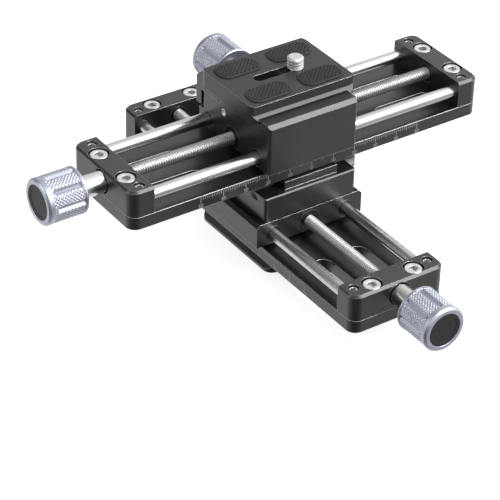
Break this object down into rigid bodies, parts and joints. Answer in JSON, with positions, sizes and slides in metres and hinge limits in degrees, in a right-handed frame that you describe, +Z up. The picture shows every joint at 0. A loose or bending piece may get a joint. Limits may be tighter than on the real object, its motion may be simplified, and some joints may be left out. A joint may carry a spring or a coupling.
{
  "type": "macro focusing rail",
  "caption": "Two crossed screw-driven slides on guide rods, each with a fluted drive knob and a dovetail clamp, topped by a quick-release plate with a camera screw.",
  "frame": {"origin": "centre of the lower foot's underside, at the mouth of the tripod thread", "axes": "+Z up, +Y along the lower rail away from its drive knob, +X along the upper rail away from its drive knob"},
  "size_m": [0.1867, 0.1867, 0.075],
  "materials": {
    "black_anodised": "satin black anodised",
    "ground_steel": "ground and polished",
    "screw_steel": "rolled thread",
    "polished_steel": "polished",
    "fastener_steel": "zinc plated",
    "bearing_bronze": "dull",
    "blue_grey_anodised": "satin blue-grey anodised",
    "dark_disc": "satin",
    "pad_rubber": "ribbed"
  },
  "bodies": {
    "lower_rail": {"lower_base_plate": "black_anodised", "lower_front_block": "black_anodised", "lower_rear_block": "black_anodised", "lower_guide_rods": "ground_steel", "lower_block_screws": "fastener_steel", "lower_rod_set_screws": "fastener_steel", "lower_foot": "black_anodised", "lower_foot_screws": "fastener_steel", "lower_screw_bearings": "bearing_bronze"},
    "lower_screw": {"lower_lead_screw": "screw_steel", "lower_screw_collar": "polished_steel", "lower_drive_knob": "blue_grey_anodised", "lower_drive_knob_cap": "dark_disc"},
    "lower_carriage": {"lower_carriage": "black_anodised", "lower_carriage_bushings": "bearing_bronze", "lower_drive_nut": "bearing_bronze", "clamp_block": "black_anodised", "clamp_block_screws": "fastener_steel", "lower_jaw_springs": "screw_steel"},
    "lower_jaw": {"lower_clamp_jaw": "black_anodised", "lower_jaw_guide_pins": "polished_steel"},
    "lower_clamp_knob": {"lower_clamp_screw": "screw_steel", "lower_clamp_collar": "polished_steel", "lower_clamp_knob": "blue_grey_anodised", "lower_clamp_knob_cap": "dark_disc"},
    "upper_rail": {"upper_base_plate": "black_anodised", "upper_front_block": "black_anodised", "upper_rear_block": "black_anodised", "upper_guide_rods": "ground_steel", "upper_block_screws": "fastener_steel", "upper_rod_set_screws": "fastener_steel", "upper_foot": "black_anodised", "upper_foot_screws": "fastener_steel", "upper_screw_bearings": "bearing_bronze"},
    "upper_screw": {"upper_lead_screw": "screw_steel", "upper_screw_collar": "polished_steel", "upper_drive_knob": "blue_grey_anodised", "upper_drive_knob_cap": "dark_disc"},
    "upper_carriage": {"upper_carriage": "black_anodised", "upper_carriage_bushings": "bearing_bronze", "upper_drive_nut": "bearing_bronze", "stop_pin": "polished_steel", "upper_jaw_springs": "screw_steel"},
    "upper_jaw": {"upper_clamp_jaw": "black_anodised", "upper_jaw_guide_pins": "polished_steel"},
    "upper_clamp_knob": {"upper_clamp_screw": "screw_steel", "upper_clamp_collar": "polished_steel", "upper_clamp_knob": "blue_grey_anodised", "upper_clamp_knob_cap": "dark_disc"},
    "plate": {"quick_release_plate": "black_anodised", "grip_pads": "pad_rubber"},
    "camera_screw_slider": {"camera_screw_washer": "dark_disc"},
    "camera_screw": {"camera_screw": "polished_steel"}
  },
  "joints": [
    {"name": "lower_drive_turn", "type": "hinge", "parent": "lower_rail", "child": "lower_screw", "pos_m": [0, 0, 0.0177], "axis": [0, 1, 0], "range_deg": [-7201, 16741]},
    {"name": "lower_carriage_slide", "type": "slide", "parent": "lower_rail", "child": "lower_carriage", "axis": [0, 1, 0], "range_m": [-0.0465, 0.02]},
    {"name": "lower_jaw_slide", "type": "slide", "parent": "lower_carriage", "child": "lower_jaw", "axis": [0, 1, 0], "range_m": [0, 0.004]},
    {"name": "lower_clamp_turn", "type": "hinge", "parent": "lower_jaw", "child": "lower_clamp_knob", "pos_m": [0.0084, 0.03, 0.0265], "axis": [0, 1, 0], "range_deg": [0, 2058]},
    {"name": "upper_rail_slide", "type": "slide", "parent": "lower_carriage", "child": "upper_rail", "axis": [1, 0, 0], "range_m": [-0.008, 0.008]},
    {"name": "upper_drive_turn", "type": "hinge", "parent": "upper_rail", "child": "upper_screw", "pos_m": [0, 0.0014, 0.0487], "axis": [1, 0, 0], "range_deg": [-18541, 16921]},
    {"name": "upper_carriage_slide", "type": "slide", "parent": "upper_rail", "child": "upper_carriage", "axis": [1, 0, 0], "range_m": [-0.047, 0.0515]},
    {"name": "upper_jaw_slide", "type": "slide", "parent": "upper_carriage", "child": "upper_jaw", "axis": [0, 1, 0], "range_m": [0, 0.004]},
    {"name": "upper_clamp_turn", "type": "hinge", "parent": "upper_jaw", "child": "upper_clamp_knob", "pos_m": [0.00015, 0.03, 0.0575], "axis": [0, 1, 0], "range_deg": [0, 2058]},
    {"name": "plate_slide", "type": "slide", "parent": "upper_carriage", "child": "plate", "axis": [1, 0, 0], "range_m": [-0.01, 0.01]},
    {"name": "camera_screw_slide", "type": "slide", "parent": "plate", "child": "camera_screw_slider", "axis": [1, 0, 0], "range_m": [-0.0158, 0.0008]},
    {"name": "camera_screw_turn", "type": "hinge", "parent": "camera_screw_slider", "child": "camera_screw", "pos_m": [0.0088, 0.0021, 0.07], "axis": [0, 0, 1], "continuous": true}
  ],
  "couplings": [
    {"joint": "lower_drive_turn", "follows": "lower_carriage_slide", "rad_per_m": -6283.2},
    {"joint": "upper_drive_turn", "follows": "upper_carriage_slide", "rad_per_m": -6283.2},
    {"joint": "lower_clamp_turn", "follows": "lower_jaw_slide", "rad_per_m": 8976},
    {"joint": "upper_clamp_turn", "follows": "upper_jaw_slide", "rad_per_m": 8976}
  ]
}
